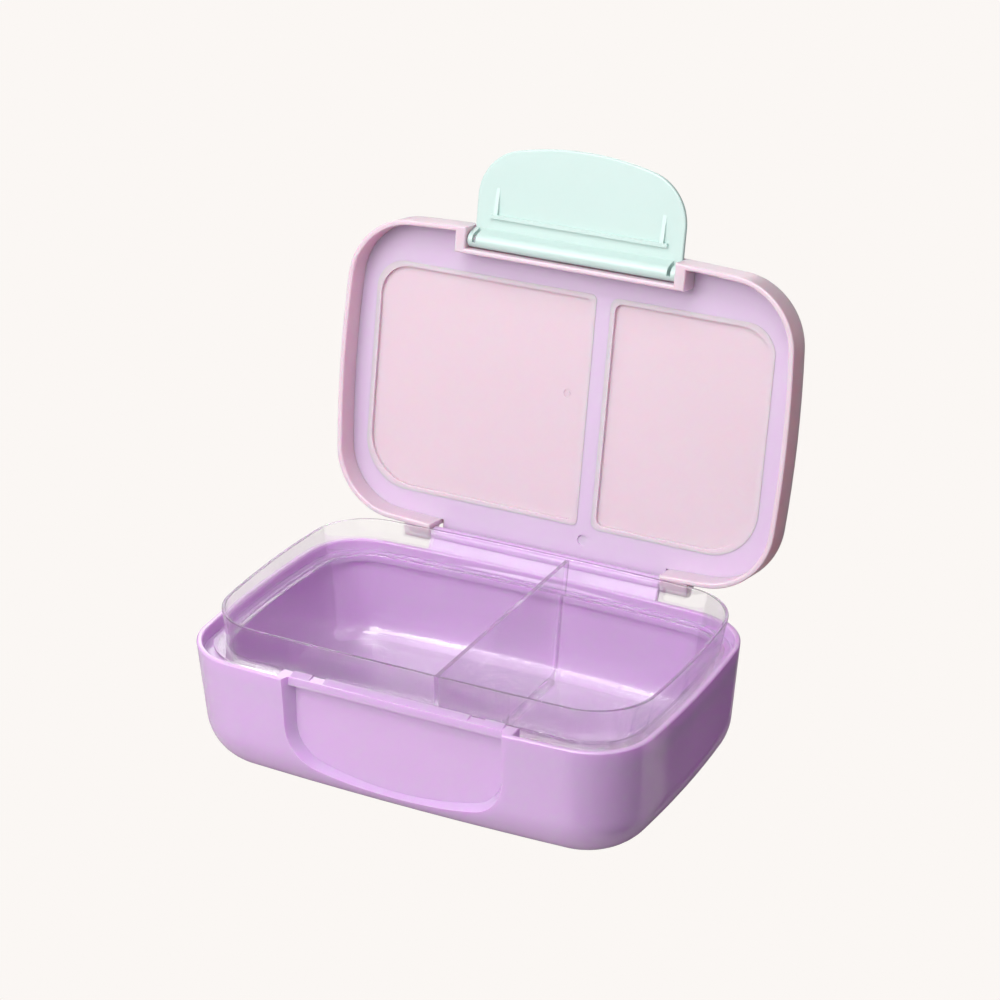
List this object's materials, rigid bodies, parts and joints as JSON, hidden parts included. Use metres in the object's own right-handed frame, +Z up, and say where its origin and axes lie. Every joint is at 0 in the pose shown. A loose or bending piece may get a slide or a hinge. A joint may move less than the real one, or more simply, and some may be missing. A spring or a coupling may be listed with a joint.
{
  "type": "bento lunch box",
  "caption": "Rounded lunch box with a hinged lid that stands open, a fold-over front clip, window panels, a soft lid seal and a clear divided tray that lifts out.",
  "frame": {"origin": "centre of the base's underside", "axes": "+Z up, -Y out of the front with the clip recess, +Y out of the hinge side, +X towards the smaller compartment"},
  "size_m": [0.202, 0.1677, 0.2233],
  "materials": {
    "base_plastic": "gloss",
    "clear_plastic": "clear gloss",
    "lid_plastic": "satin",
    "seal_rubber": "soft satin",
    "clip_plastic": "satin",
    "pin_steel": "brushed"
  },
  "bodies": {
    "base": {"base_tub": "base_plastic", "inner_tray": "clear_plastic", "hinge_pin_left": "pin_steel", "hinge_pin_right": "pin_steel"},
    "lid": {"lid_shell": "lid_plastic", "lid_seal": "seal_rubber"},
    "clip": {"clip": "clip_plastic"}
  },
  "joints": [
    {"name": "lid_hinge", "type": "hinge", "parent": "base", "child": "lid", "pos_m": [0, 0.069, 0.0577], "axis": [1, 0, 0], "range_deg": [0, 100]},
    {"name": "clip_hinge", "type": "hinge", "parent": "lid", "child": "clip", "pos_m": [0, 0.09109, 0.18297], "axis": [1, 0, 0], "range_deg": [0, 90]}
  ]
}
